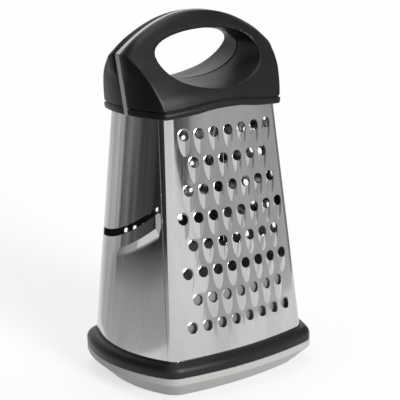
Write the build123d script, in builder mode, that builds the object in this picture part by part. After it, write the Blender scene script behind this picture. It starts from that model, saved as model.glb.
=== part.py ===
"""A box grater on its own tub: four pressed steel faces, a soft rim and a two-part loop handle.

The origin is under the middle of the tub, +Z is up, and the coarse face looks towards -Y.
"""
import os
from math import atan, copysign, degrees, sqrt

from build123d import *

# Steel body: sizes across its lower edge, where the rim's top meets it
steel_length = 133.2
steel_width = 105.0
front_arc_radius = 236.5
end_arc_radius = 93.7
corner_radius = 7.9
sheet = 0.5
wall_lean_share = 0.1027
seam_from_corner = 4.0
lap_width = 4.2
lap_step = 1.0
lap_gap = 0.04

# Heights above the table
tub_foot_height = 12.2
tub_flange_top = 16.7
rim_top = 26.0
tub_rim_height = 71.0
lip_height = 182.2
steel_top = 189.5
end_crest_height = 221.6
crest_height = 246.5

# Tub that the gratings fall into
flange_margin = 7.0
foot_inset = 12.9
flange_wall = 2.2
tub_wall = 1.8
tub_floor = 2.4
tub_corner = 14.5
tub_clearance = 1.0
tub_draft = 0.6
seat_gap = 0.1

# Soft rim round the steel's lower edge
rim_shoulder = 5.8
rim_inner_lip = 2.4
rim_inner_height = 3.4
rim_seat_height = 3.6
rim_skirt_drop = 4.0

# Handle
lip_margin = 2.5
lip_band = 4.4
lip_arch_rise = 3.9
lip_arch_half = 36.0
groove_height = 0.9
groove_depth = 0.8
dome_foot = 180.0
handle_reach = 59.5
handle_base_width = 79.0
handle_corner = 2.0
handle_flare_share = 0.135
handle_wall = 3.2
handle_floor = 3.0
end_width_share = 0.82
centre_arch_shares = (
    (1, 0), (0.99, 0.10), (0.955, 0.20), (0.876, 0.30), (0.755, 0.42),
    (0.58, 0.60), (0.40, 0.76), (0.24, 0.90), (0.11, 0.975), (0, 1),
)
end_arch_shares = (
    (1, 0), (0.99, 0.13), (0.965, 0.27), (0.92, 0.41), (0.84, 0.566),
    (0.70, 0.71), (0.53, 0.84), (0.34, 0.935), (0.17, 0.985), (0, 1),
)
opening_centre = 220.2
opening_half_length = 39.5
opening_drop = 18.6
opening_rise = 13.6
opening_flare_share = 0.10

# Inlaid strip along the handle's parting line
strip_width = 4.4
strip_waist = 1.6
strip_depth = 2.0
strip_proud = 0.25
strip_gap = 0.5
strip_cut_length = 12.0
strip_corner_angle = 35.0
strip_corner_share = 0.988
crest_shares = (-1.1, -0.8, -0.4, 0, 0.4, 0.8, 1.1)

# Plate that closes the steel's top and carries the handle
plate_thickness = 3.0
plate_skirt = 5.5
plate_skirt_wall = 2.0
screw_spacing = 60.0
screw_row_spacing = 30.0
screw_diameter = 3.4
screw_reach = 8.5
screw_head_diameter = 6.6
screw_head_height = 2.2
screw_slot = 1.2
boss_wall = 2.4

# Coarse teeth
coarse_rows = (7, 6, 7, 8, 7, 8, 7, 8)
coarse_hole = 7.0
coarse_pitch = 11.3
coarse_row_pitch = 17.85
coarse_first_row = 171.3
coarse_hole_sides = 12
tooth_width = 6.7
tooth_length = 13.4
tooth_height = 2.1
tooth_section_shares = ((-1, 0), (-0.62, 0.76), (0, 1), (0.62, 0.76), (1, 0))
tooth_station_shares = ((0, 1), (0.45, 0.93), (0.8, 0.62), (1, 0.1))

# Fine and medium holes
hole_sides = 8
hole_edge_margin = 9.0
fine_hole = 3.3
fine_pitch = 8.0
fine_row_pitch = 10.0
fine_first_row = 172.0
fine_row_count = 14
medium_hole = 5.0
medium_pitch = 9.0
medium_row_pitch = 13.0
medium_first_row = 170.0
medium_row_count = 11

# Slicing blade on the left face
slot_gap = 5.2
slot_front = 29.6
slot_rear = 33.0
slot_front_height = 124.0
slot_middle_height = 106.4
slot_rear_height = 98.4
blade_rear = 8.0
blade_rear_height = 101.0
blade_raise = 3.0
blade_rear_raise = 0.3
blade_height = 8.6
blade_bevel = 5.0
blade_station_shares = (0, 0.34, 0.67, 1)

overrun = 30.0

steel_bottom = tub_flange_top + seat_gap + rim_seat_height
rim_bottom = tub_flange_top + seat_gap


def narrowing(height):
    """How far the leaning walls have come in at a height above the rim's top."""
    return (height - rim_top) * wall_lean_share


def plan(height, grow, drawn_in, rounding=None):
    """The body's four-arc outline at a height, grown by a margin and drawn in by the walls' lean."""
    half_length = steel_length / 2 + grow - drawn_in
    half_width = steel_width / 2 + grow - drawn_in
    front_arc, end_arc = front_arc_radius + grow, end_arc_radius + grow
    with BuildSketch(Plane.XY.offset(height)) as outline:
        with Locations((0, front_arc - half_width)):
            Circle(front_arc)
        with Locations((0, half_width - front_arc)):
            Circle(front_arc, mode=Mode.INTERSECT)
        with Locations((half_length - end_arc, 0)):
            Circle(end_arc, mode=Mode.INTERSECT)
        with Locations((end_arc - half_length, 0)):
            Circle(end_arc, mode=Mode.INTERSECT)
        fillet(outline.vertices(), corner_radius + grow if rounding is None else rounding)
    return outline.sketch


def corner_point():
    """Where the front arc and the end arc of the steel's lower edge would meet without rounding."""
    x, y = steel_length / 2, steel_width / 2
    for _ in range(20):
        x = steel_length / 2 - end_arc_radius + sqrt(end_arc_radius ** 2 - y ** 2)
        y = steel_width / 2 - front_arc_radius + sqrt(front_arc_radius ** 2 - x ** 2)
    return x, y


def leaning_block(grow):
    """A solid with the steel's leaning sides, grown by a margin, as tall as the steel."""
    with BuildPart() as block:
        loft(sections=[
            plan(steel_bottom, grow, narrowing(steel_bottom)),
            plan(steel_top, grow, narrowing(steel_top)),
        ], ruled=True)
    return block.part


outer = leaning_block(0)
inner = leaning_block(-sheet)
lap_face = leaning_block(-sheet - lap_gap)
lining = leaning_block(-2 * sheet)
corner_length, corner_width = corner_point()
seam = corner_width - seam_from_corner


def leaning_band(start, end):
    """The space between two distances from the long middle plane, which both lean in with the walls."""
    edges = ((start, steel_bottom), (end, steel_bottom), (end, steel_top), (start, steel_top))
    with BuildPart() as band:
        with BuildSketch(Plane.YZ):
            with BuildLine():
                Polyline(*[
                    (across - copysign(narrowing(height), across), height) for across, height in edges
                ], close=True)
            make_face()
        extrude(amount=steel_length, both=True)
    return band.part


def front_place(across, height):
    """A plane on the front face, looking outwards."""
    bow = sqrt(front_arc_radius ** 2 - across ** 2)
    depth = steel_width / 2 - narrowing(height) - front_arc_radius + bow
    return Plane(
        origin=(across, -depth, height), x_dir=(bow, across, 0),
        z_dir=(across, -bow, wall_lean_share * front_arc_radius),
    )


def end_place(across, height):
    """A plane on the right-hand end face, looking outwards."""
    bow = sqrt(end_arc_radius ** 2 - across ** 2)
    depth = steel_length / 2 - narrowing(height) - end_arc_radius + bow
    return Plane(
        origin=(depth, across, height), x_dir=(-across, bow, 0),
        z_dir=(bow, across, wall_lean_share * end_arc_radius),
    )


def row_places(place, count, pitch, height):
    """One centred row of places on a face."""
    return [place((column - (count - 1) / 2) * pitch, height) for column in range(count)]


def filled_rows(place, first_row, row_pitch, rows, pitch, half_face):
    """Staggered rows that each fill the width that the face has at their height."""
    places = []
    for row in range(rows):
        height = first_row - row * row_pitch
        count = 2 * int((half_face - narrowing(height) - hole_edge_margin) / pitch) + row % 2
        places += row_places(place, count, pitch, height)
    return places


def tongue(foot, shrink):
    """The tongue that is pressed out below a coarse hole, from the hole's middle down to its tip."""
    half_width, height = tooth_width / 2 - shrink, tooth_height - shrink
    sections = []
    for along, size in tooth_station_shares:
        arch_points = [
            (across * half_width * size, up * height * size) for across, up in tooth_section_shares
        ]
        with BuildSketch(Plane.XZ.offset(along * (tooth_length - shrink))) as section:
            with BuildLine():
                Polyline((-half_width * size, foot), *arch_points, (half_width * size, foot), close=True)
            make_face()
        sections.append(section.sketch)
    with BuildPart() as form:
        loft(sections=sections, ruled=True)
    return form.part


def punch(diameter, sides):
    """A prism that goes through a sheet."""
    with BuildPart() as prism:
        with BuildSketch(Plane.XY):
            RegularPolygon(diameter / 2, sides)
        extrude(amount=overrun / 2, both=True)
    return prism.part


# Coarse face: round holes, each over a tongue whose upper edge cuts and whose back is hollow
coarse_places = []
for row, holes in enumerate(coarse_rows):
    coarse_places += row_places(front_place, holes, coarse_pitch, coarse_first_row - row * coarse_row_pitch)

with BuildPart() as front_panel:
    add(outer)
    add(leaning_band(-steel_width, -seam), mode=Mode.INTERSECT)
    add(inner, mode=Mode.SUBTRACT)
    with Locations(*coarse_places):
        add(tongue(-sheet / 2, 0))
    with Locations(*coarse_places):
        add([tongue(-2 * sheet, sheet), punch(coarse_hole, coarse_hole_sides)], mode=Mode.SUBTRACT)
front_panel.part.label = "front_panel"

# Fine face, drawn as a front face and turned to the back
fine_places = filled_rows(
    front_place, fine_first_row, fine_row_pitch, fine_row_count, fine_pitch, corner_length,
)
with BuildPart() as fine_sheet:
    add(outer)
    add(leaning_band(-steel_width, -seam), mode=Mode.INTERSECT)
    add(inner, mode=Mode.SUBTRACT)
    with Locations(*fine_places):
        add(punch(fine_hole, hole_sides), mode=Mode.SUBTRACT)
with BuildPart() as back_panel:
    with Locations(Rotation(0, 0, 180)):
        add(fine_sheet.part)
back_panel.part.label = "back_panel"


def end_sheet():
    """A right-hand end face, with its edges stepped in to lap behind the wide faces."""
    with BuildPart() as bent_sheet:
        add(outer)
        add(inner, mode=Mode.SUBTRACT)
        add(leaning_band(lap_gap - seam, seam - lap_gap), mode=Mode.INTERSECT)
        for side in (-1, 1):
            for layer, near, far in (
                (inner, seam - lap_step, seam - lap_gap),
                (lap_face, seam - lap_step, seam + lap_width),
            ):
                with BuildPart(mode=Mode.PRIVATE) as lap:
                    add(layer)
                    add(lining, mode=Mode.SUBTRACT)
                    add(leaning_band(side * near, side * far), mode=Mode.INTERSECT)
                add(lap.part)
        split(bisect_by=Plane.YZ)
    return bent_sheet.part


medium_places = filled_rows(
    end_place, medium_first_row, medium_row_pitch, medium_row_count, medium_pitch, seam,
)
with BuildPart() as right_panel:
    add(end_sheet())
    with Locations(*medium_places):
        add(punch(medium_hole, hole_sides), mode=Mode.SUBTRACT)
right_panel.part.label = "right_panel"


# Slicing face, drawn on the right and mirrored to the left
def blade_outline(share):
    """Where one section of the blade lies, and its points: a proud lip, a bevel and the inner side."""
    across = -slot_front + share * (slot_front + blade_rear)
    front_edge = slot_front_height - slot_gap / 2
    edge = front_edge + share * (blade_rear_height - front_edge)
    turn, foot = edge - blade_height, edge - blade_height - blade_bevel
    proud = blade_raise + share * (blade_rear_raise - blade_raise)
    at_edge, at_turn, at_foot = [end_place(across, height).origin.X for height in (edge, turn, foot)]
    return across, [
        (at_edge + proud, edge), (at_turn + proud, turn), (at_foot, foot),
        (at_foot - sheet, foot), (at_turn + proud - sheet, turn), (at_edge + proud - sheet, edge),
    ]


def blade_section(share):
    """One section of the blade as a face."""
    across, points = blade_outline(share)
    with BuildSketch(Plane.XZ.offset(-across)) as section:
        with BuildLine():
            Polyline(*points, close=True)
        make_face()
    return section.sketch


with BuildPart() as blade:
    loft(sections=[blade_section(share) for share in blade_station_shares], ruled=True)
    front_across, front_points = blade_outline(0)
    edge_point, turn_point, foot_point, inner_foot = front_points[:4]
    with BuildSketch(Plane.XZ.offset(-front_across)):
        with BuildLine():
            inner_edge = (inner_foot[0], edge_point[1])
            Polyline(edge_point, turn_point, foot_point, inner_foot, inner_edge, close=True)
        make_face()
    extrude(amount=sheet)

with BuildPart() as slicer_sheet:
    add(end_sheet())
    with BuildSketch(Plane.YZ):
        with BuildLine():
            for lift in (-slot_gap / 2, slot_gap / 2):
                ThreePointArc(
                    (-slot_front, slot_front_height + lift), (0, slot_middle_height + lift),
                    (slot_rear, slot_rear_height + lift),
                )
            for across, height in ((-slot_front, slot_front_height), (slot_rear, slot_rear_height)):
                Line((across, height - slot_gap / 2), (across, height + slot_gap / 2))
        make_face()
        with BuildLine():
            front_edge, depth = slot_front_height - slot_gap / 2, blade_height + blade_bevel
            Polyline(
                (-slot_front, front_edge), (blade_rear, blade_rear_height),
                (blade_rear, blade_rear_height - depth), (-slot_front, front_edge - depth), close=True,
            )
        make_face()
    extrude(amount=steel_length, mode=Mode.SUBTRACT)
    add(blade.part)
with BuildPart() as left_panel:
    add(slicer_sheet.part)
    mirror(about=Plane.YZ)
    split(bisect_by=Plane.YZ, keep=Keep.BOTTOM)
left_panel.part.label = "left_panel"

# Soft rim: a rounded outer ring, a lip inside the steel and a skirt that centres it on the tub
with BuildPart() as base_ring:
    add(plan(rim_bottom, flange_margin, 0))
    extrude(amount=rim_top - rim_bottom)
    fillet(base_ring.faces().sort_by(Axis.Z)[-1].edges(), rim_shoulder)
    add(plan(rim_bottom - rim_skirt_drop, -sheet, 0))
    extrude(amount=rim_skirt_drop)
    add(plan(rim_bottom - rim_skirt_drop, -sheet - rim_inner_lip, 0))
    extrude(amount=rim_skirt_drop + rim_top - rim_bottom, mode=Mode.SUBTRACT)
    add(outer, mode=Mode.SUBTRACT)
    with BuildPart(mode=Mode.PRIVATE) as inner_lip:
        add(lining)
        with BuildSketch(Plane.XY.offset(steel_bottom)):
            add(plan(steel_bottom, -sheet, 0))
            add(plan(steel_bottom, -sheet - rim_inner_lip, 0), mode=Mode.SUBTRACT)
        extrude(amount=rim_inner_height, mode=Mode.INTERSECT)
    add(inner_lip.part)
base_ring.part.label = "base_ring"

# Tub: a shallow dish whose edge carries the rim, and a deep wall that stands inside the steel
tub_top_grow = -sheet - tub_clearance - narrowing(tub_rim_height)
tub_foot_grow = tub_top_grow - tub_draft
dish_foot_grow = flange_margin - foot_inset
gutter_height = tub_foot_height + flange_wall / 2
with BuildPart() as container:
    loft(sections=[
        plan(0, dish_foot_grow, 0, tub_corner), plan(tub_foot_height, flange_margin, 0, tub_corner),
    ], ruled=True)
    add(plan(tub_foot_height, flange_margin, 0, tub_corner))
    extrude(amount=tub_flange_top - tub_foot_height)
    loft(sections=[
        plan(flange_wall, dish_foot_grow, 0, tub_corner - flange_wall),
        plan(gutter_height, flange_margin - flange_wall, 0, tub_corner - flange_wall),
    ], ruled=True, mode=Mode.SUBTRACT)
    add(plan(gutter_height, flange_margin - flange_wall, 0, tub_corner - flange_wall))
    extrude(amount=tub_flange_top, mode=Mode.SUBTRACT)
    loft(sections=[
        plan(0, tub_foot_grow, 0, tub_corner), plan(tub_rim_height, tub_top_grow, 0, tub_corner),
    ], ruled=True)
    loft(sections=[
        plan(tub_floor, tub_foot_grow - tub_wall, 0, tub_corner - tub_wall),
        plan(tub_rim_height, tub_top_grow - tub_wall, 0, tub_corner - tub_wall),
    ], ruled=True, mode=Mode.SUBTRACT)
container.part.label = "container"


# Handle: a dome of arches along its length, trimmed by flaring ends
def crest_at(across):
    """Height of the handle's crest, a parabola over its length."""
    return crest_height - (crest_height - end_crest_height) * (across / handle_reach) ** 2


def arch(place, crest, width, shares):
    """One cross-section of the handle: a closed arch standing on its base line."""
    rise = crest - dome_foot
    side = [(width / 2 * across, dome_foot + rise * up) for across, up in shares]
    points = side + [(-across, height) for across, height in reversed(side[:-1])]
    with BuildSketch(place) as section:
        with BuildLine():
            Spline(points, tangents=[(0, 1), (0, -1)])
            Line(points[-1], points[0])
        make_face()
    return section.sketch


lip_inset = narrowing(lip_height)
end_flare = (crest_height - dome_foot) * handle_flare_share


def dome(shrink):
    """The handle's whole form without its openings, or a smaller copy inside it."""
    width, crest, end_crest = handle_base_width - 2 * shrink, crest_height - shrink, end_crest_height - shrink
    with BuildPart() as form:
        loft(sections=[
            arch(Plane.YZ.offset(-handle_reach), end_crest, width * end_width_share, end_arch_shares),
            arch(Plane.YZ, crest, width, centre_arch_shares),
            arch(Plane.YZ.offset(handle_reach), end_crest, width * end_width_share, end_arch_shares),
        ])
        loft(sections=[
            plan(dome_foot, lip_margin - shrink, lip_inset, handle_corner),
            plan(crest_height, lip_margin + end_flare - shrink, lip_inset, handle_corner),
        ], ruled=True, mode=Mode.INTERSECT)
    return form.part


def tunnel(grow):
    """The finger opening, narrowest at the parting plane and flaring to both faces."""
    with BuildPart() as way:
        with BuildSketch(Plane.XZ):
            with BuildLine():
                centre, half_length = (0, opening_centre), opening_half_length + grow
                EllipticalCenterArc(centre, half_length, opening_rise + grow, start_angle=0, arc_size=180)
                EllipticalCenterArc(centre, half_length, opening_drop + grow, start_angle=180, arc_size=180)
            make_face()
        extrude(amount=steel_width / 2, both=True, taper=-degrees(atan(opening_flare_share)))
    return way.part


def lip_layer(low, high):
    """The layer between two copies of the handle's lower edge, level at the ends and arched in the middle."""
    far, half, quarter = steel_length, lip_arch_half, lip_arch_half / 2
    with BuildPart() as layer:
        with BuildSketch(Plane.XZ):
            with BuildLine():
                for rise in (low, high):
                    foot, top = lip_height + rise, lip_height + lip_arch_rise + rise
                    Line((-far, foot), (-half, foot))
                    Bezier((-half, foot), (-quarter, foot), (-quarter, top), (0, top))
                    Bezier((0, top), (quarter, top), (quarter, foot), (half, foot))
                    Line((half, foot), (far, foot))
                for side in (-far, far):
                    Line((side, lip_height + low), (side, lip_height + high))
            make_face()
        extrude(amount=steel_width, both=True)
    return layer.part


def long_profile(margin):
    """The handle's outline on its parting plane, grown by a margin: leaning ends under the crest."""
    half_foot = steel_length / 2 + lip_margin - lip_inset + margin
    crest_points = []
    for share in crest_shares:
        across = share * handle_reach
        slope = 2 * (crest_height - end_crest_height) * across / handle_reach ** 2
        crest_points.append((across, crest_at(across) + margin * sqrt(1 + slope ** 2)))
    left, right = crest_points[0][0], crest_points[-1][0]
    with BuildSketch(Plane.XZ) as outline:
        with BuildLine():
            Spline(crest_points)
            Polyline(crest_points[-1], (right, dome_foot), (left, dome_foot), crest_points[0])
        make_face()
        with BuildLine():
            Polyline(
                (-half_foot, dome_foot), (half_foot, dome_foot),
                (half_foot + end_flare, crest_height), (half_foot + end_flare, crest_height + strip_depth),
                (-half_foot - end_flare, crest_height + strip_depth), (-half_foot - end_flare, crest_height),
                close=True,
            )
        make_face(mode=Mode.INTERSECT)
    return outline.sketch


with BuildPart() as strip_band:
    extrude(long_profile(strip_proud), amount=strip_width / 2, dir=(0, 1, 0), both=True)
    extrude(long_profile(-strip_depth), amount=strip_width, dir=(0, 1, 0), both=True, mode=Mode.SUBTRACT)
    with BuildSketch(Plane.XY.offset(dome_foot)) as waist:
        with BuildLine():
            for side in (-1, 1):
                ThreePointArc(
                    (-handle_reach, side * strip_width / 2), (0, side * strip_waist / 2),
                    (handle_reach, side * strip_width / 2),
                )
                Line(
                    (side * handle_reach, -strip_width / 2), (side * handle_reach, strip_width / 2),
                )
        make_face()
    extrude(amount=overrun + crest_height - dome_foot, mode=Mode.INTERSECT)
    add(lip_layer(dome_foot - lip_height, 0), mode=Mode.SUBTRACT)

screw_places = GridLocations(screw_spacing, screw_row_spacing, 2, 2).locations
plate_underside = steel_top - plate_thickness
with BuildPart() as handle_screws:
    with BuildSketch(Plane.XY.offset(plate_underside)):
        with Locations(*screw_places):
            Circle(screw_diameter / 2)
    extrude(amount=plate_thickness + screw_reach)
    with BuildSketch(Plane.XY.offset(plate_underside)):
        with Locations(*screw_places):
            Circle(screw_head_diameter / 2)
    extrude(amount=-screw_head_height)
    with BuildSketch(Plane.XY.offset(plate_underside - screw_head_height)):
        with Locations(*screw_places):
            Rectangle(screw_head_diameter, screw_slot)
    extrude(amount=screw_head_height / 2, mode=Mode.SUBTRACT)
handle_screws.part.label = "handle_screws"

with BuildPart() as handle_base_plate:
    add(lining)
    with BuildSketch(Plane.XY.offset(plate_underside - plate_skirt)):
        Rectangle(steel_length, steel_width)
    extrude(amount=plate_thickness + plate_skirt, mode=Mode.INTERSECT)
    add(leaning_block(-2 * sheet - plate_skirt_wall), mode=Mode.SUBTRACT)
    with BuildPart(mode=Mode.PRIVATE) as plate_floor:
        add(lining)
        with BuildSketch(Plane.XY.offset(plate_underside)):
            Rectangle(steel_length, steel_width)
        extrude(amount=plate_thickness, mode=Mode.INTERSECT)
    add(plate_floor.part)
    add(handle_screws.part, mode=Mode.SUBTRACT)
handle_base_plate.part.label = "handle_base_plate"

with BuildPart() as cavity:
    add(dome(handle_wall))
    add(tunnel(handle_wall), mode=Mode.SUBTRACT)
    with BuildSketch(Plane.XY):
        Rectangle(2 * steel_length, 2 * steel_width)
    extrude(amount=steel_top + handle_floor, mode=Mode.SUBTRACT)
    with BuildSketch(Plane.XY.offset(steel_top)):
        with Locations(*screw_places):
            Circle(screw_diameter / 2 + boss_wall)
    extrude(amount=screw_reach + boss_wall, mode=Mode.SUBTRACT)

with BuildPart() as handle_body:
    add(dome(0))
    add(tunnel(0), mode=Mode.SUBTRACT)
    add(cavity.part, mode=Mode.SUBTRACT)
    add(lip_layer(dome_foot - lip_height - overrun, 0), mode=Mode.SUBTRACT)
    with BuildPart(mode=Mode.PRIVATE) as groove:
        add(lip_layer(lip_band, lip_band + groove_height))
        with BuildSketch(Plane.XY.offset(dome_foot)):
            add(plan(dome_foot, lip_margin - groove_depth, lip_inset, handle_corner))
        extrude(amount=crest_height, mode=Mode.SUBTRACT)
    add(groove.part, mode=Mode.SUBTRACT)
    add(outer, mode=Mode.SUBTRACT)
    add(strip_band.part, mode=Mode.SUBTRACT)
    add(handle_screws.part, mode=Mode.SUBTRACT)
with BuildPart() as handle_front_shell:
    add(handle_body.part)
    split(bisect_by=Plane.XZ)
handle_front_shell.part.label = "handle_front_shell"
with BuildPart() as handle_rear_shell:
    add(handle_body.part)
    split(bisect_by=Plane.XZ, keep=Keep.BOTTOM)
handle_rear_shell.part.label = "handle_rear_shell"

corner_across = handle_reach * strip_corner_share
with BuildPart() as strip_pieces:
    add(strip_band.part)
    for side in (-1, 1):
        with BuildSketch(Plane.XZ):
            strip_corner = (side * corner_across, crest_at(corner_across), 0)
            with Locations(Location(strip_corner, (0, 0, side * strip_corner_angle))):
                Rectangle(strip_cut_length, strip_gap)
        extrude(amount=strip_width, both=True, mode=Mode.SUBTRACT)
strips = strip_pieces.part.solids().sort_by(Axis.X)

pieces = [
    container, base_ring, front_panel, back_panel, left_panel, right_panel,
    handle_base_plate, handle_screws, handle_front_shell, handle_rear_shell,
]
os.makedirs("parts", exist_ok=True)
for piece in pieces:
    export_step(piece.part, f"parts/{piece.part.label}.step")
for name, strip in zip(("left_trim_strip", "top_trim_strip", "right_trim_strip"), strips):
    strip.label = name
    export_step(strip, f"parts/{name}.step")
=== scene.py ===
"""Looks for the box grater: pressed steel faces, soft black rim and handle, grey strip and tub.

Lengths are in millimetres until the mesh is made, as in the part's source. The studio is in metres.
"""

import math

import bpy
import numpy as np
from mathutils import Matrix, Vector


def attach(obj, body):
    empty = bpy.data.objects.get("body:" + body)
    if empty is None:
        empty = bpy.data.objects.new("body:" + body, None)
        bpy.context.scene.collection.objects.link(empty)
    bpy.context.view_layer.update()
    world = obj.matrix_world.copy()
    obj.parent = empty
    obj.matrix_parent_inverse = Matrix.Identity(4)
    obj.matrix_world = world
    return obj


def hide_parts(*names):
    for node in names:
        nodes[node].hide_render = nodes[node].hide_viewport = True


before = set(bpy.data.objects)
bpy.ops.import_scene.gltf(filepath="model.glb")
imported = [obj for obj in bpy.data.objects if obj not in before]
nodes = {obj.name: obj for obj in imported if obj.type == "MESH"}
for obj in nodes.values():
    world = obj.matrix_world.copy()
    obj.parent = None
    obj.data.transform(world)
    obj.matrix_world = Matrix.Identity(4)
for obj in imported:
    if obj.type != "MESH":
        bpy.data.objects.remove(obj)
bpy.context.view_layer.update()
MM = 0.001

# Steel body
steel_length, steel_width = 133.2, 105.0
front_radius, end_radius, corner_radius = 236.5, 93.7, 7.9
lean, rim_top = 0.1027, 26.0
sheet = 0.5
steel_bottom, steel_top = 20.4, 189.5
seam_from_corner = 4.0

# Coarse teeth
coarse_rows = (7, 6, 7, 8, 7, 8, 7, 8)
coarse_hole, coarse_pitch, coarse_row_pitch, coarse_first_row = 7.0, 11.3, 17.85, 171.3
tooth_width, tooth_length, tooth_height = 8.2, 13.6, 2.0
ridge_softness, ridge_sharpness, tooth_slope = 0.16, 1.35, 0.85
tooth_mouth, least_reach = 0.25, 1e-3
coarse_lip, coarse_lip_width = 0.2, 0.4

# Fine and medium holes
hole_edge_margin = 9.0
fine_hole, fine_burr, fine_burr_width = 3.3, 0.3, 0.45
fine_pitch, fine_row_pitch, fine_first_row, fine_rows = 8.0, 10.0, 172.0, 14
medium_hole, medium_burr, medium_burr_width = 5.0, 0.35, 0.5
medium_pitch, medium_row_pitch, medium_first_row, medium_rows = 9.0, 13.0, 170.0, 11

# Slicer
slot_gap = 5.2
slot_line = ((-29.6, 124.0), (0.0, 106.4), (33.0, 98.4))
slot_first_guess, slot_limit, slot_rounds = 112.0, 40, 12  # for its height at each column
blade_front, blade_rear, blade_fade = -29.6, 8.0, 6
blade_raise, blade_rear_raise = 3.0, 0.3
blade_height, blade_bevel = 8.6, 5.0

# Rim and tub
tub_flange_top, tub_foot_height, tub_rim_height = 16.7, 12.2, 71.0
flange_margin, foot_inset, flange_wall, tub_wall, tub_floor = 7.0, 12.9, 2.2, 1.8, 2.4
tub_corner, tub_clearance, tub_draft, seat_gap = 14.5, 1.0, 0.6, 0.1
tub_cap_inset = 6
rim_shoulder, rim_inner_lip, rim_inner_height, rim_skirt_drop = 5.8, 2.4, 3.4, 4.0
rim_outer_wall, rim_top_edge, skirt_rounding = 2, 2, 0.6
steel_gap_top, steel_gap_foot, steel_gap_inside = 0.15, 0.12, 0.2
steel_spread = 0.575  # how far the steel's foot stands outside its outline at the rim's top

# Handle
crest_top, crest_drop, handle_reach = 246.5, 24.9, 58.8
arch_foot, arch_rise, solid_arch_half, arch_half = 182.2, 3.9, 36.0, 50.0

# Handle, fuller crest: pairs are where an effect starts and where it is complete
crest_swell, swell_middle, swell_ends = 2.8, 0.8, 0.2
swell_strip_side, swell_outer_side = (2, 6), (9, 18)
swell_along, swell_reach = (0, 30), (46, 68)
swell_facing, swell_below = (0.05, 0.3), (12, 18)

# Handle, lower edge: the arch, the lip and the groove above it
arch_fade, arch_side = (192, 206), 20
plan_length, plan_width = 60, 40
lip_out, groove_in = 0.5, 0.75
lip_end, groove_start, groove_end = (4.0, 4.5), (4.2, 4.7), (5.0, 5.6)
edge_facing, edge_top = (0.2, 0.5), 200

# Handle, groove at the parting inside the opening
opening_below_crest, opening_foot, opening_half = 7, 192, 46
parting_fade, parting_depth = (0.2, 1.0), 0.8

# Density of the meshes, and tolerances
front_points, turn_points, end_points = 24, 12, 18  # along a quarter of the outline
corner_points, corner_share = 6, 0.49  # along a rounded corner, and the most of a side it takes
shoulder_points = 12
sharp_angle = 42
seam_rounds = 20
coarse_spacing, fine_spacing = 0.45, 0.55
turn_columns, side_columns = 9, 5  # of a wide face, round its corner and on to the seam
hole_reach_across, hole_reach_up = 8, 18  # where a hole can move the sheet
snap_share, on_circle = 0.5, 1e-4  # how near, in grid steps, a point moves onto a hole's edge
slot_front, slot_rear = -0.925, 0.954  # shares of the slicing face's half width
before_slot, behind_slot = 0.006, 0.005
slot_columns, beside_slot_columns = 110, 4
band_rows = (40, 12, 16, 5, 44)  # below the blade, its bevel, its flat, the slot, above the slot
slot_band = 3
first_inner_station = 21  # of the tub's profile, from where its corner is the smaller one
voxel, smooth_factor, smooth_passes = 0.5, 0.5, 6
tiny = 1e-6

# Studio, with heights in metres
focal_length, sensor_width, camera_range = 117.0, 36.0, 50.0
floor_half, floor_glow, soft_light, white_light = 6, 0.68, 0.4, 1.0
tub_tone_and_painted_wall_shade = ((0.018, 0.47), (0.024, 0.25))  # (height, tone) of its foot, and painted shade on its wall: the wall is darker where it stands in shade inside the steel
card_height = 0.9
card_foot = ((0.0, 1.2), (0.045, 1.0), (0.062, 0.55), (0.088, 0.0))  # (height, share of its tone)


# Outlines and profiles
def narrowing(height):
    """How far the leaning walls have come in at a height, counted from the rim's top."""
    return (height - rim_top) * lean


def corner(grow, drawn_in, rounding=None):
    """Radii, centres and tangent points of the quarter outline with x > 0 and y < 0."""
    half_length = steel_length / 2 + grow - drawn_in
    half_width = steel_width / 2 + grow - drawn_in
    front, end = front_radius + grow, end_radius + grow
    turn = corner_radius + grow if rounding is None else rounding
    front_centre = np.array((0.0, front - half_width))
    end_centre = np.array((half_length - end, 0.0))
    span = end_centre - front_centre
    distance = np.linalg.norm(span)
    along = ((front - turn) ** 2 - (end - turn) ** 2 + distance ** 2) / (2 * distance)
    off = math.sqrt((front - turn) ** 2 - along ** 2)
    direction = span / distance
    sideways = np.array((-direction[1], direction[0]))
    centre = front_centre + along * direction + off * sideways
    if centre[1] > 0 or centre[0] < 0:
        centre = front_centre + along * direction - off * sideways
    on_front = front_centre + (centre - front_centre) * front / (front - turn)
    on_end = end_centre + (centre - end_centre) * end / (end - turn)
    return front, end, turn, front_centre, end_centre, centre, on_front, on_end


def arc(centre, radius, start, finish, count):
    """Points along an arc from one point to another, both included."""
    first = math.atan2(start[1] - centre[1], start[0] - centre[0])
    last = math.atan2(finish[1] - centre[1], finish[0] - centre[0])
    angles = np.linspace(first, last, count)
    xs, ys = centre[0] + radius * np.cos(angles), centre[1] + radius * np.sin(angles)
    return np.stack((xs, ys), axis=1)


def quarter(grow, rounding):
    """The quarter outline from the middle of the front to the middle of the end."""
    front, end, turn, front_centre, end_centre, centre, on_front, on_end = corner(grow, 0, rounding)
    return np.concatenate((
        arc(front_centre, front, (0, front_centre[1] - front), on_front, front_points)[:-1],
        arc(centre, turn, on_front, on_end, turn_points)[:-1],
        arc(end_centre, end, on_end, (end_centre[0] + end, 0), end_points),
    ))


def outline(grow, rounding):
    """The whole closed outline."""
    base = quarter(grow, rounding)
    back = base[::-1]
    return np.concatenate((
        base[:-1], (back * (1, -1))[:-1], (base * (-1, -1))[:-1], (back * (-1, 1))[:-1],
    ))


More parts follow.
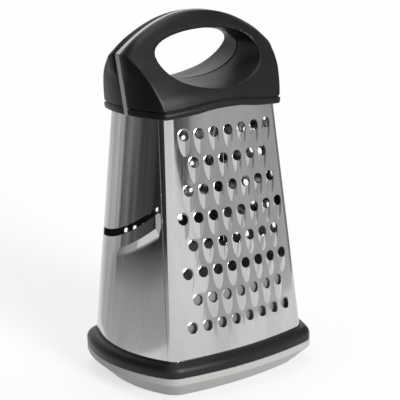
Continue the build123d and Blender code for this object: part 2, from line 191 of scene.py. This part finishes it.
def rounded(start, turn, finish, radius):
    """Profile stations that round the corner at turn between two others."""
    start, turn, finish = (np.array(station, float) for station in (start, turn, finish))
    length_back, length_ahead = np.linalg.norm(start - turn), np.linalg.norm(finish - turn)
    back, ahead = (start - turn) / length_back, (finish - turn) / length_ahead
    angle = math.acos(float(np.clip(back @ ahead, -1, 1)))
    reach = min(
        radius / math.tan(angle / 2), corner_share * length_back, corner_share * length_ahead,
    )
    first, last = turn + back * reach, turn + ahead * reach
    ways = np.linspace(0, 1, corner_points)[:, None]
    return list((1 - ways) ** 2 * first + 2 * ways * (1 - ways) * turn + ways ** 2 * last)


def eased(corners, radii):
    """A profile with each corner between its two ends rounded, by one radius each."""
    stations = [np.array(corners[0], float)]
    for start, turn, finish, radius in zip(corners, corners[1:], corners[2:], radii):
        stations += rounded(start, turn, finish, radius)
    return stations + [np.array(corners[-1], float)]


# Meshes
def make(name, points, faces, body):
    """A mesh object from millimetre points, riding on a body."""
    mesh = bpy.data.meshes.new(name)
    mesh.from_pydata([tuple(point) for point in np.asarray(points) * MM], [], faces)
    mesh.validate()
    mesh.shade_smooth()
    mesh.set_sharp_from_angle(angle=math.radians(sharp_angle))
    made = bpy.data.objects.new(name, mesh)
    bpy.context.collection.objects.link(made)
    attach(made, body)
    return made


def loops_mesh(loops, closed_profile, caps):
    """Points and faces that join closed loops of one length into a skin."""
    count = len(loops[0])
    faces = []
    for level in range(len(loops) if closed_profile else len(loops) - 1):
        here, there = level * count, (level + 1) % len(loops) * count
        for step in range(count):
            after = (step + 1) % count
            faces.append((here + step, here + after, there + after, there + step))
    for level in caps:
        faces.append(tuple(level * count + step for step in range(count)))
    return np.concatenate(loops), faces


def swept(name, profile, body, closed_profile=False, caps=()):
    """A skin from a profile of (grow, height, rounding) stations round the outline."""
    loops = []
    for grow, height, rounding in profile:
        flat = outline(grow, rounding)
        loops.append(np.column_stack((flat, np.full(len(flat), height))))
    points, faces = loops_mesh(loops, closed_profile, caps)
    return make(name, points, faces, body)


def grid_faces(rows, columns, keep):
    """Quads of a grid, where keep(row, column) says which ones stay."""
    faces = []
    for row in range(rows - 1):
        for column in range(columns - 1):
            if keep(row, column):
                first = row * columns + column
                faces.append((first, first + 1, first + columns + 1, first + columns))
    return faces


def holed_faces(inside, rows, columns):
    """Quads of a grid, leaving out those with a corner inside a hole."""
    hidden = inside.reshape(rows, columns)
    return grid_faces(rows, columns, lambda row, column: not (
        hidden[row, column] or hidden[row, column + 1]
        or hidden[row + 1, column] or hidden[row + 1, column + 1]
    ))


def thickened(points, faces, normals):
    """A closed sheet: the outer skin, an inner skin behind it and a wall round every open edge."""
    quads = np.array(faces)
    used = np.unique(quads)
    renumber = np.zeros(len(points), int)
    renumber[used] = np.arange(len(used))
    quads, points, normals = renumber[quads], points[used], normals[used]
    starts, finishes = quads.reshape(-1), np.roll(quads, -1, axis=1).reshape(-1)
    keys = np.minimum(starts, finishes) * len(points) + np.maximum(starts, finishes)
    _, first, counts = np.unique(keys, return_index=True, return_counts=True)
    edge = first[counts == 1]
    start, finish = starts[edge], finishes[edge]
    behind = len(points)
    walls = np.stack((finish, start, start + behind, finish + behind), axis=1)
    skins = np.concatenate((quads, quads[:, ::-1] + behind, walls))
    places = np.concatenate((points, points - normals * sheet))
    return places, [tuple(face) for face in skins.tolist()]


# Steel faces
def seam_corner():
    """Where the front's and the right-hand end's curves would meet: half length and half width."""
    x, y = steel_length / 2, steel_width / 2
    for _ in range(seam_rounds):
        x = steel_length / 2 - end_radius + math.sqrt(end_radius ** 2 - y ** 2)
        y = steel_width / 2 - front_radius + math.sqrt(front_radius ** 2 - x ** 2)
    return x, y


*_, corner_on_front, _ = corner(0, 0)
corner_length, corner_width = seam_corner()
seam = corner_width - seam_from_corner


def grid_heights(spacing):
    """Heights of a face's rows of points."""
    return np.linspace(steel_bottom, steel_top, int((steel_top - steel_bottom) / spacing) + 1)


def ruled(low, high, heights):
    """Rows of points between the outlines of the steel's two ends."""
    share = ((heights - steel_bottom) / (steel_top - steel_bottom))[:, None, None]
    flat = low[None] * (1 - share) + high[None] * share
    levels = np.broadcast_to(heights[:, None, None], (len(heights), len(low), 1))
    return np.concatenate((flat, levels), axis=2)


def wide_columns(drawn_in, count):
    """Columns of a wide face from the middle of the front, round the corner, to the seam."""
    front, end, turn, front_centre, end_centre, centre, on_front, on_end = corner(0, drawn_in)
    xs = np.linspace(0, 1, count) * on_front[0]
    ys = front_centre[1] - np.sqrt(front ** 2 - xs ** 2)
    across = seam - drawn_in
    stop = (end_centre[0] + math.sqrt(end ** 2 - across ** 2), -across)
    return np.concatenate((
        np.stack((xs, ys), axis=1)[:-1],
        arc(centre, turn, on_front, on_end, turn_columns)[:-1],
        arc(end_centre, end, on_end, stop, side_columns),
    ))


def hole_rows(counts, pitch, row_pitch, first):
    """Hole centres as (across, height)."""
    return [
        ((column - (count - 1) / 2) * pitch, first - row * row_pitch)
        for row, count in enumerate(counts) for column in range(count)
    ]


def filled(pitch, row_pitch, first, rows, half_face):
    """Hole centres where each row fills the width of the face."""
    counts = []
    for row in range(rows):
        room = half_face - narrowing(first - row * row_pitch) - hole_edge_margin
        counts.append(2 * int(room / pitch) + row % 2)
    return hole_rows(counts, pitch, row_pitch, first)


def punched(positions, surface, holes, radius, radius_of_face, rise):
    """Points, normals and hole marks of a sheet with round holes and their pressed surrounds.

    surface(across, height) gives points and normals. Vertices near a circle are moved onto it.
    """
    flat = positions.copy()
    lifts = np.zeros(len(flat))
    inside = np.zeros(len(flat), bool)
    step = abs(flat[1, 0] - flat[0, 0])
    stretch = math.sqrt(1 + lean ** 2)
    for across, height in holes:
        near = np.flatnonzero(
            (np.abs(flat[:, 0] - across) < hole_reach_across)
            & (np.abs(flat[:, 1] - height) < hole_reach_up)
        )
        tilt = math.cos(math.asin(across / radius_of_face))
        u = (flat[near, 0] - across) / tilt
        v = (flat[near, 1] - height) * stretch
        distance = np.hypot(u, v)
        snap = np.abs(distance - radius) < snap_share * step
        scale = np.where(snap, radius / np.maximum(distance, tiny), 1.0)
        u, v = u * scale, v * scale
        distance = np.hypot(u, v)
        flat[near, 0] = across + u * tilt
        flat[near, 1] = height + v / stretch
        inside[near] |= distance < radius - on_circle
        lifts[near] = np.maximum(lifts[near], rise(u, v, distance))
    points, normals = surface(flat[:, 0], flat[:, 1])
    return points + normals * lifts[:, None], normals, inside


def unit(vectors):
    """The same directions, each of length one."""
    return vectors / np.linalg.norm(vectors, axis=1)[:, None]


def front_surface(across, height):
    """Points and normals on the front face."""
    bow = np.sqrt(front_radius ** 2 - across ** 2)
    depth = steel_width / 2 - narrowing(height) - front_radius + bow
    normals = np.stack((across, -bow, np.full(len(across), lean * front_radius)), axis=1)
    return np.stack((across, -depth, height), axis=1), unit(normals)


def end_surface(across, height):
    """Points and normals on the right-hand end face."""
    bow = np.sqrt(end_radius ** 2 - across ** 2)
    depth = steel_length / 2 - narrowing(height) - end_radius + bow
    normals = np.stack((bow, across, np.full(len(across), lean * end_radius)), axis=1)
    return np.stack((depth, across, height), axis=1), unit(normals)


def burr(radius, height, width):
    """A small raised burr all round a punched hole."""
    def rise(u, v, distance):
        return height * np.exp(-((distance - radius) / width) ** 2)
    return rise


def tongue(u, v, distance):
    """How far the coarse face stands out round a hole: a tongue below and a thin lip above."""
    along = np.clip(-v / tooth_length, 0, 1)
    reach = np.maximum(tooth_width / 2 * np.sqrt(1 - along ** 2), least_reach)
    sideways = np.clip(1 - (np.sqrt(u ** 2 + ridge_softness) / reach) ** ridge_sharpness, 0, 1)
    hump = tooth_height * (1 - along) ** tooth_slope * sideways
    below = 1 / (1 + np.exp(np.clip(v / tooth_mouth, -30, 30)))
    lip = burr(coarse_hole / 2, coarse_lip, coarse_lip_width)(u, v, distance)
    return hump * below + lip * (1 - below)


def wide_face(name, holes, radius, rise, spacing, turned=False):
    """A wide steel face that runs round the corners to its two seams, at the front or turned."""
    half = int(corner_on_front[0] / spacing) + 1
    low = wide_columns(narrowing(steel_bottom), half)
    high = wide_columns(narrowing(steel_top), half)
    right = ruled(low, high, grid_heights(spacing))
    left = right[:, :0:-1] * (-1, 1, 1)
    block = np.concatenate((left, right), axis=1)
    rows, columns = block.shape[:2]
    normals = unit(np.cross(np.gradient(block, axis=1), np.gradient(block, axis=0)).reshape(-1, 3))
    places = block.reshape(-1, 3)
    from_middle = np.abs(np.arange(columns) - (right.shape[1] - 1))
    on_front = np.tile(from_middle <= half - 1, rows)
    inside = np.zeros(len(places), bool)
    places[on_front], normals[on_front], inside[on_front] = punched(
        places[on_front][:, (0, 2)], front_surface, holes, radius, front_radius, rise,
    )
    places, faces = thickened(places, holed_faces(inside, rows, columns), normals)
    if turned:
        places = places * (-1, -1, 1)
    return make(name, places, faces, "grater")


def end_face(name, holes, radius, rise, spacing):
    """The right-hand end face between its two seams."""
    heights = grid_heights(spacing)
    ways = np.linspace(-1, 1, 2 * int(seam / spacing) + 1)
    across = ways[None] * (seam - narrowing(heights))[:, None]
    rows, columns = across.shape
    levels = np.broadcast_to(heights[:, None], across.shape)
    grid = np.stack((across, levels), axis=2).reshape(-1, 2)
    places, normals, inside = punched(grid, end_surface, holes, radius, end_radius, rise)
    places, faces = thickened(places, holed_faces(inside, rows, columns), normals)
    return make(name, places, faces, "grater")


def circle_through(a, b, c):
    """Centre and radius of the circle through three points."""
    matrix = 2 * np.array(((b[0] - a[0], b[1] - a[1]), (c[0] - a[0], c[1] - a[1])))
    right = np.array((
        b[0] ** 2 - a[0] ** 2 + b[1] ** 2 - a[1] ** 2,
        c[0] ** 2 - a[0] ** 2 + c[1] ** 2 - a[1] ** 2,
    ))
    centre = np.linalg.solve(matrix, right)
    return centre, math.hypot(a[0] - centre[0], a[1] - centre[1])


slot_centre, slot_radius = circle_through(*slot_line)


def slot_height(across):
    """Height of the slot's middle line."""
    return slot_centre[1] - np.sqrt(slot_radius ** 2 - (across - slot_centre[0]) ** 2)


def blade_proud(across, ways):
    """How far the blade stands out: most at its front, fading behind its rear, none before it."""
    share = np.clip((across - blade_front) / (blade_rear - blade_front), 0, 1)
    proud = blade_raise + share * (blade_rear_raise - blade_raise)
    behind = blade_rear_raise * np.clip(1 - (across - blade_rear) / blade_fade, 0, 1)
    proud = np.where(share >= 1, behind, proud)
    return np.where(ways[None] < slot_front - before_slot / 2, 0, proud)


def slicer_face(name):
    """The left-hand end face: its grid follows the slot, and the blade below it stands out."""
    ways = np.concatenate((
        np.linspace(-1, slot_front - before_slot, beside_slot_columns),
        np.linspace(slot_front, slot_rear, slot_columns),
        np.linspace(slot_rear + behind_slot, 1, beside_slot_columns),
    ))
    columns = len(ways)
    line = np.full(columns, slot_first_guess)
    for _ in range(slot_rounds):
        line = slot_height(np.clip(ways * (seam - narrowing(line)), -slot_limit, slot_limit))
    edge, top = line - slot_gap / 2, line + slot_gap / 2
    turn = edge - blade_height
    foot = turn - blade_bevel
    levels = (np.full(columns, steel_bottom), foot, turn, edge, top, np.full(columns, steel_top))
    rows = []
    for band, count in enumerate(band_rows):
        is_last = band == len(band_rows) - 1
        for share in np.linspace(0, 1, count, endpoint=is_last):
            rows.append(levels[band] * (1 - share) + levels[band + 1] * share)
    heights = np.array(rows)
    across = ways[None] * (seam - narrowing(heights))
    below = edge[None] - heights
    profile = np.clip(1 - (below - blade_height) / blade_bevel, 0, 1)
    lifts = np.where(below > -tiny, blade_proud(across, ways) * profile, 0)
    places, normals = end_surface(across.reshape(-1), heights.reshape(-1))
    places = places + normals * lifts.reshape(-1, 1)
    first_open = sum(band_rows[:slot_band])
    open_rows = range(first_open, first_open + band_rows[slot_band])
    open_columns = (ways >= slot_front - tiny) & (ways <= slot_rear + tiny)
    faces = grid_faces(len(rows), columns, lambda row, column: not (
        row in open_rows and open_columns[column] and open_columns[column + 1]
    ))
    places, faces = thickened(places, faces, normals)
    return make(name, places * (-1, 1, 1), [face[::-1] for face in faces], "grater")


coarse_holes = hole_rows(coarse_rows, coarse_pitch, coarse_row_pitch, coarse_first_row)
fine_holes = filled(fine_pitch, fine_row_pitch, fine_first_row, fine_rows, corner_length)
medium_holes = filled(medium_pitch, medium_row_pitch, medium_first_row, medium_rows, seam)
coarse_face = wide_face("coarse_face", coarse_holes, coarse_hole / 2, tongue, coarse_spacing)
fine_face = wide_face(
    "fine_face", fine_holes, fine_hole / 2,
    burr(fine_hole / 2, fine_burr, fine_burr_width), fine_spacing, turned=True,
)
medium_face = end_face(
    "medium_face", medium_holes, medium_hole / 2,
    burr(medium_hole / 2, medium_burr, medium_burr_width), fine_spacing,
)
slicing_face = slicer_face("slicing_face")
for made, node in (
    (coarse_face, "front_panel"), (fine_face, "back_panel"),
    (medium_face, "right_panel"), (slicing_face, "left_panel"),
):
    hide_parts(node)

# Rim
rim_bottom = tub_flange_top + seat_gap
skirt_foot = rim_bottom - rim_skirt_drop
rim_inner = sheet + rim_inner_lip
inner_lip_top = steel_bottom + rim_inner_height
rim_outside = eased([
    (-rim_inner, skirt_foot), (-sheet, skirt_foot), (-sheet, rim_bottom),
    (flange_margin, rim_bottom), (flange_margin, rim_bottom + rim_outer_wall),
], (skirt_rounding, 0.2, 0.9))
rim_over = [
    np.array((
        flange_margin - rim_shoulder + rim_shoulder * math.cos(turn),
        rim_top - rim_shoulder + rim_shoulder * math.sin(turn),
    ))
    for turn in np.radians(np.linspace(0, 90, shoulder_points))
]
rim_inside = eased([
    (rim_top_edge, rim_top), (steel_gap_top, rim_top),
    (steel_gap_foot + steel_spread, steel_bottom),
    (-sheet * 2 + steel_spread - steel_gap_inside, steel_bottom), (-sheet * 2, inner_lip_top),
    (-rim_inner, inner_lip_top), (-rim_inner, rim_bottom),
], (0.2, 0.1, 0.1, 0.5, 0.6))
rim_close = [np.array((-rim_inner, skirt_foot + skirt_rounding))]
soft_rim = swept("soft_rim", [
    (grow, height, None) for grow, height in rim_outside[1:] + rim_over + rim_inside[1:] + rim_close
], "grater", closed_profile=True)
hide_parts("base_ring")

# Tub
foot = flange_margin - foot_inset
top_grow = -sheet - tub_clearance - narrowing(tub_rim_height)
foot_grow = top_grow - tub_draft
gutter = tub_foot_height + flange_wall / 2
tub_stations = eased([
    (foot - tub_cap_inset, 0), (foot, 0), (flange_margin, tub_foot_height),
    (flange_margin, tub_flange_top), (flange_margin - flange_wall, tub_flange_top),
    (flange_margin - flange_wall, gutter), (foot, flange_wall), (foot_grow, flange_wall),
    (top_grow, tub_rim_height), (top_grow - tub_wall, tub_rim_height),
    (foot_grow - tub_wall, tub_floor), (foot_grow - tub_wall - tub_cap_inset, tub_floor),
], (2.2, 0.7, 0.5, 0.4, 1.2, 0.6, 0.4, 0.8, 0.8, 2.5))
tub_profile = [
    (grow, height, tub_corner - (flange_wall if place >= first_inner_station else 0))
    for place, (grow, height) in enumerate(tub_stations)
]
tub = swept("tub", tub_profile, "tub", caps=(0, len(tub_profile) - 1))
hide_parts("container")


# Handle
def smooth_step(value, low, high):
    """0 below low, 1 above high and smooth between."""
    share = np.clip((value - low) / (high - low), 0, 1)
    return share * share * (3 - 2 * share)


def crest_height(x):
    """Height of the handle's crest."""
    return crest_top - crest_drop * (x / handle_reach) ** 2


def lower_edge(across, half):
    """Height of the handle's lower edge, arched in the middle."""
    share = np.clip(1 - np.abs(across) / half, 0, 1)
    return arch_foot + arch_rise * share * share * (3 - 2 * share)


def fill_crest(places, normals):
    """Fills out the handle's shoulders on both sides of the crest's strip."""
    x, across = places[:, 0], np.abs(places[:, 1])
    slope = -2 * crest_drop * x / handle_reach ** 2
    steep = np.sqrt(1 + slope ** 2)
    outwards = (normals[:, 2] - normals[:, 0] * slope) / steep
    below = crest_height(x) - places[:, 2]
    swell = smooth_step(across, *swell_strip_side) * (1 - smooth_step(across, *swell_outer_side))
    swell *= (
        (swell_middle + swell_ends * smooth_step(np.abs(x), *swell_along))
        * (1 - smooth_step(np.abs(x), *swell_reach))
    )
    swell *= smooth_step(outwards, *swell_facing) * (1 - smooth_step(below, *swell_below))
    places[:, 0] -= crest_swell * swell * slope / steep
    places[:, 2] = np.minimum(places[:, 2] + crest_swell * swell / steep, crest_top)


def finish_shell(places, normals):
    """A wider arch and a proud lip at the lower edge, a groove above it and one at the parting."""
    x, y, z = places.copy().T
    edge = lower_edge(x, arch_half)
    widened = (edge - lower_edge(x, solid_arch_half)) * (1 - smooth_step(z, *arch_fade))
    places[:, 2] += widened * (np.abs(y) > arch_side)
    above = places[:, 2] - edge
    outwards = normals[:, 0] * x / plan_length ** 2 + normals[:, 1] * y / plan_width ** 2
    outwards /= np.hypot(x / plan_length ** 2, y / plan_width ** 2)
    outer = smooth_step(outwards, *edge_facing) * (z < edge_top)
    lip = 1 - smooth_step(above, *lip_end)
    groove = smooth_step(above, *groove_start) * (1 - smooth_step(above, *groove_end))
    shift = outer * (lip_out * lip - groove_in * groove)
    places += normals * (1, 1, 0) * shift[:, None]
    in_opening = (
        (crest_height(x) - z > opening_below_crest) & (z > opening_foot)
        & (np.abs(x) < opening_half)
    )
    parting = (1 - smooth_step(np.abs(y), *parting_fade)) * in_opening
    places -= normals * (1, 0, 1) * parting_depth * parting[:, None]


def reshape(mesh, change):
    """Moves a mesh's vertices by a change that is given their places in millimetres and normals."""
    places, normals = np.empty(len(mesh.vertices) * 3), np.empty(len(mesh.vertices) * 3)
    mesh.vertices.foreach_get("co", places)
    mesh.vertices.foreach_get("normal", normals)
    places = places.reshape(-1, 3) / MM
    change(places, normals.reshape(-1, 3))
    mesh.vertices.foreach_set("co", (places * MM).reshape(-1))
    mesh.update()


def settle(made):
    """Gives an object the mesh that its modifiers and some smoothing passes make."""
    smooth = made.modifiers.new("smooth", "SMOOTH")
    smooth.factor = smooth_factor
    smooth.iterations = smooth_passes
    depsgraph = bpy.context.evaluated_depsgraph_get()
    baked = bpy.data.meshes.new_from_object(made.evaluated_get(depsgraph))
    made.modifiers.clear()
    made.data = baked


def softened(name, node):
    """A rounded copy of a CAD shell, with its crest filled and its grooves pressed."""
    source = nodes[node]
    mesh = source.data.copy()
    mesh.name = name
    made = bpy.data.objects.new(name, mesh)
    bpy.context.collection.objects.link(made)
    made.matrix_world = source.matrix_world.copy()
    remesh = made.modifiers.new("remesh", "REMESH")
    remesh.mode = "VOXEL"
    remesh.voxel_size = voxel * MM
    settle(made)
    reshape(made.data, fill_crest)
    settle(made)
    made.data.materials.clear()
    made.data.shade_smooth()
    reshape(made.data, finish_shell)
    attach(made, "grater")
    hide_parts(node)
    return made


front_shell = softened("front_shell", "handle_front_shell")
rear_shell = softened("rear_shell", "handle_rear_shell")


# Materials
def grey(value):
    """An even tone as a colour."""
    return (value, value, value)


def material(name, base, roughness, metallic=0.0, specular=0.5):
    """A Principled material, its node tree and its shader."""
    made = bpy.data.materials.new(name)
    made.use_nodes = True
    tree = made.node_tree
    shader = tree.nodes["Principled BSDF"]
    shader.inputs["Base Color"].default_value = (*base, 1)
    shader.inputs["Roughness"].default_value = roughness
    shader.inputs["Metallic"].default_value = metallic
    shader.inputs["Specular IOR Level"].default_value = specular
    return made, tree, shader


def link(tree, source, output, target, entry):
    """Joins two nodes' sockets."""
    tree.links.new(source.outputs[output], target.inputs[entry])


def noise(tree, scale, detail, stretch=(1, 1, 1), roughness=0.5):
    """A noise texture over the object, stretched along its axes."""
    place = tree.nodes.new("ShaderNodeTexCoord")
    mapping = tree.nodes.new("ShaderNodeMapping")
    mapping.inputs["Scale"].default_value = stretch
    link(tree, place, "Object", mapping, "Vector")
    texture = tree.nodes.new("ShaderNodeTexNoise")
    texture.inputs["Scale"].default_value = scale
    texture.inputs["Detail"].default_value = detail
    texture.inputs["Roughness"].default_value = roughness
    link(tree, mapping, "Vector", texture, "Vector")
    return texture


def ramp(tree, source, stops, output=0):
    """A colour ramp fed by a node's output."""
    made = tree.nodes.new("ShaderNodeValToRGB")
    elements = made.color_ramp.elements
    while len(elements) > 1:
        elements.remove(elements[0])
    elements[0].position, elements[0].color = stops[0][0], (*stops[0][1], 1)
    for position, colour in stops[1:]:
        elements.new(position).color = (*colour, 1)
    link(tree, source, output, made, "Fac")
    return made


def varied(tree, source, low, high, shader, entry, span=(0.3, 0.7)):
    """Lets a texture move one of the shader's inputs between two colours."""
    link(tree, ramp(tree, source, ((span[0], low), (span[1], high))), 0, shader, entry)


def over_height(tree, stops):
    """Tones that change with the height above the floor, in metres."""
    places = tree.nodes.new("ShaderNodeTexCoord")
    heights = tree.nodes.new("ShaderNodeSeparateXYZ")
    link(tree, places, "Object", heights, 0)
    return ramp(tree, heights, [(height, grey(tone)) for height, tone in stops], "Z")


def blended(tree, mode, first, first_output, second):
    """Two colours mixed in full by a mode. Inputs 6 and 7 and output 2 are the node's colours."""
    made = tree.nodes.new("ShaderNodeMix")
    made.data_type, made.blend_type = "RGBA", mode
    made.inputs[0].default_value = 1.0
    link(tree, first, first_output, made, 6)
    link(tree, second, 0, made, 7)
    return made


def bump(tree, source, shader, strength, distance):
    """Bump from a texture."""
    made = tree.nodes.new("ShaderNodeBump")
    made.inputs["Strength"].default_value = strength
    made.inputs["Distance"].default_value = distance
    link(tree, source, 0, made, "Height")
    link(tree, made, "Normal", shader, "Normal")


steel, tree, shader = material("polished_steel", (0.57, 0.57, 0.573), roughness=0.12, metallic=1.0)
grain = noise(tree, scale=900, detail=3, stretch=(1, 1, 0.02))
varied(tree, grain, grey(0.07), grey(0.14), shader, "Roughness")
clouds = noise(tree, scale=34, detail=4, stretch=(1, 1, 0.3), roughness=0.6)
dull, bright = (0.49, 0.49, 0.493), (0.6, 0.6, 0.603)
varied(tree, clouds, dull, bright, shader, "Base Color", span=(0.34, 0.66))
waves = noise(tree, scale=14, detail=1, stretch=(1, 1, 0.15))
bump(tree, waves, shader, strength=0.25, distance=0.001)

soft_black, tree, shader = material("soft_black", grey(0.006), roughness=0.4, specular=0.3)
pores = noise(tree, scale=2600, detail=4)
bump(tree, pores, shader, strength=0.16, distance=0.0002)
patches = noise(tree, scale=30, detail=3)
varied(tree, patches, grey(0.34), grey(0.44), shader, "Roughness")
varied(tree, patches, grey(0.004), grey(0.007), shader, "Base Color")

hard_black, tree, shader = material("hard_black", grey(0.02), roughness=0.55)
pores = noise(tree, scale=1500, detail=3)
bump(tree, pores, shader, strength=0.3, distance=0.0003)
varied(tree, pores, grey(0.5), grey(0.62), shader, "Roughness")

trim_grey, tree, shader = material("trim_grey", grey(0.6), roughness=0.32, metallic=0.7)
flecks = noise(tree, scale=3000, detail=3)
varied(tree, flecks, grey(0.56), grey(0.64), shader, "Base Color")
bump(tree, flecks, shader, strength=0.08, distance=0.0001)

tub_plastic, tree, shader = material("tub_plastic", (0.5, 0.5, 0.487), roughness=0.4)
mottle = noise(tree, scale=900, detail=4)
bump(tree, mottle, shader, strength=0.12, distance=0.0002)
haze = noise(tree, scale=20, detail=2)
tint = ramp(tree, haze, ((0.3, (0.95, 0.95, 0.925)), (0.7, (1.0, 1.0, 0.975))))
# Painted shade: the tub's tone falls from its foot's own grey to a darker wall, for the wall that
# stands in shade behind the steel
tint_and_painted_shade = blended(tree, "MULTIPLY", tint, 0, over_height(tree, tub_tone_and_painted_wall_shade))
link(tree, tint_and_painted_shade, 2, shader, "Base Color")
varied(tree, haze, grey(0.36), grey(0.46), shader, "Roughness")

screw_steel, tree, shader = material("screw_steel", grey(0.55), roughness=0.25, metallic=1.0)
turning = noise(tree, scale=1200, detail=2, stretch=(1, 1, 0.1))
varied(tree, turning, grey(0.2), grey(0.34), shader, "Roughness")


def dress(target, chosen):
    """Puts a material on every slot of an object."""
    if not target.data.materials:
        target.data.materials.append(chosen)
    for place in range(len(target.material_slots)):
        target.material_slots[place].material = chosen


for made in (coarse_face, fine_face, medium_face, slicing_face):
    dress(made, steel)
for made in (soft_rim, front_shell, rear_shell):
    dress(made, soft_black)
dress(tub, tub_plastic)
dress(nodes["handle_base_plate"], hard_black)
dress(nodes["handle_screws"], screw_steel)
for strip in ("left_trim_strip", "top_trim_strip", "right_trim_strip"):
    dress(nodes[strip], trim_grey)

# Camera
lens = bpy.data.cameras.new("camera")
lens.lens, lens.sensor_width, lens.clip_end = focal_length, sensor_width, camera_range
camera = bpy.data.objects.new("camera", lens)
bpy.context.collection.objects.link(camera)
camera_right, camera_up = (0.79532, -0.60575, -0.02309), (0.16403, 0.17838, 0.97019)
camera_back, camera_place = (-0.58357, -0.77540, 0.24123), (-0.51486, -0.68999, 0.33084)
camera.matrix_world = Matrix((
    *zip(camera_right, camera_up, camera_back, camera_place), (0, 0, 0, 1),
))
bpy.context.scene.camera = camera


# Floor and world
def seen_directly(tree):
    """1 for the rays that show the white background: from the camera, a mirror or a clear body."""
    rays = tree.nodes.new("ShaderNodeLightPath")
    first = tree.nodes.new("ShaderNodeMath")
    second = tree.nodes.new("ShaderNodeMath")
    first.operation = second.operation = "MAXIMUM"
    link(tree, rays, "Is Camera Ray", first, 0)
    link(tree, rays, "Is Glossy Ray", first, 1)
    link(tree, first, 0, second, 0)
    link(tree, rays, "Is Transmission Ray", second, 1)
    return second


def whitened(tree, usual, white, output):
    """Gives an output its usual shader, and the white one for the rays that show the background."""
    mix = tree.nodes.new("ShaderNodeMixShader")
    link(tree, seen_directly(tree), 0, mix, 0)
    link(tree, usual, 0, mix, 1)
    link(tree, white, 0, mix, 2)
    link(tree, mix, 0, tree.nodes[output], 0)


floor_mesh = bpy.data.meshes.new("floor")
floor_mesh.from_pydata(
    [(x * floor_half, y * floor_half, 0) for x, y in ((-1, -1), (1, -1), (1, 1), (-1, 1))],
    [], [(0, 1, 2, 3)],
)
floor = bpy.data.objects.new("floor", floor_mesh)
bpy.context.collection.objects.link(floor)

white, tree, shader = material("white_floor", grey(0.35), roughness=0.8, specular=0.0)
speckle = noise(tree, scale=60, detail=2)
varied(tree, speckle, grey(0.345), grey(0.355), shader, "Base Color", span=(0.2, 0.8))
glow = tree.nodes.new("ShaderNodeEmission")
glow.inputs["Strength"].default_value = floor_glow
both = tree.nodes.new("ShaderNodeAddShader")
link(tree, shader, 0, both, 0)
link(tree, glow, 0, both, 1)
whitened(tree, shader, both, "Material Output")
dress(floor, white)

world = bpy.data.worlds.new("studio")
bpy.context.scene.world = world
world.use_nodes = True
tree = world.node_tree
soft, plain = tree.nodes["Background"], tree.nodes.new("ShaderNodeBackground")
for light, strength in ((soft, soft_light), (plain, white_light)):
    light.inputs["Color"].default_value = (*grey(1), 1)
    light.inputs["Strength"].default_value = strength
whitened(tree, soft, plain, "World Output")


# Cards and lamps
def card_look(name, tones, streak, scale, foot):
    """A card's own glow: tones along it, upright streaks, and a paler foot where one is given."""
    look, tree, shader = material(name, grey(0), roughness=1.0, specular=0.0)
    places = tree.nodes.new("ShaderNodeTexCoord")
    ways = tree.nodes.new("ShaderNodeSeparateXYZ")
    link(tree, places, "UV", ways, 0)
    along = ramp(tree, ways, [(share, grey(tone)) for share, tone in tones])
    streaks = noise(tree, scale, detail=4, stretch=(1, 1, 0.04), roughness=0.6)
    streaks = ramp(tree, streaks, ((0.38, grey(1 - streak)), (0.62, grey(1))))
    shade = blended(tree, "MULTIPLY", along, 0, streaks)
    if foot:
        rise = over_height(tree, [(height, foot * share) for height, share in card_foot])
        shade = blended(tree, "LIGHTEN", shade, 2, rise)
    link(tree, shade, 2, shader, "Emission Color")
    shader.inputs["Emission Strength"].default_value = 1.0
    return look


def card(name, corners, tones, streak, scale, foot=None):
    """A studio card that stands outside the camera's view and shows only in the steel.

    streak and scale say how deep and how fine its soft upright streaks are.
    """
    mesh = bpy.data.meshes.new(name)
    mesh.from_pydata(corners, [], [(0, 1, 2, 3)])
    across = mesh.uv_layers.new(name="along")
    for place, way in enumerate(((0, 0), (1, 0), (1, 1), (0, 1))):
        across.data[place].uv = way
    made = bpy.data.objects.new(name, mesh)
    bpy.context.collection.objects.link(made)
    made.visible_camera = made.visible_diffuse = made.visible_shadow = False
    made.visible_transmission = made.visible_volume_scatter = False
    dress(made, card_look(name, tones, streak, scale, foot))


def upright(start, finish):
    """The corners of a card that stands straight up from the floor."""
    return [(*start, 0.0), (*finish, 0.0), (*finish, card_height), (*start, card_height)]


card(
    "left_card", upright((-0.345, -0.125), (-0.05, 0.16)),
    ((0.45, 0.07), (0.58, 0.09), (0.62, 0.24), (0.75, 0.34), (0.8, 0.14), (0.82, 0.74), (1.0, 0.8)),
    streak=0.75, scale=40, foot=0.46,
)
card(
    "right_card", upright((0.055, -0.27), (0.40, -0.15)),
    ((0.0, 0.56), (1.0, 0.62)), streak=0.16, scale=12, foot=0.56,
)
card(
    "side_card", upright((0.36, -0.14), (0.36, 0.16)),
    ((0.0, 0.34), (1.0, 0.26)), streak=0.3, scale=7,
)
card(
    "dark_post",
    [(0.029, -0.25, 0.11), (0.037, -0.25, 0.11), (0.066, -0.25, 0.2), (0.002, -0.25, 0.2)],
    ((0.0, 0.1), (1.0, 0.24)), streak=0.2, scale=20,
)


def lamp(name, towards, strength, spread):
    """A soft, even lamp that shines from a direction, alike over the whole floor."""
    light = bpy.data.lights.new(name, "SUN")
    light.energy, light.angle = strength, math.radians(spread)
    made = bpy.data.objects.new(name, light)
    bpy.context.collection.objects.link(made)
    made.rotation_euler = Vector(towards).to_track_quat("Z", "Y").to_euler()
    made.location = towards


lamp("key", (-0.02, -1.0, 0.32), strength=2.7, spread=20)
lamp("top", (0.1, 0.2, 1.3), strength=0.7, spread=40)

scene = bpy.context.scene
scene.view_settings.view_transform = "Standard"
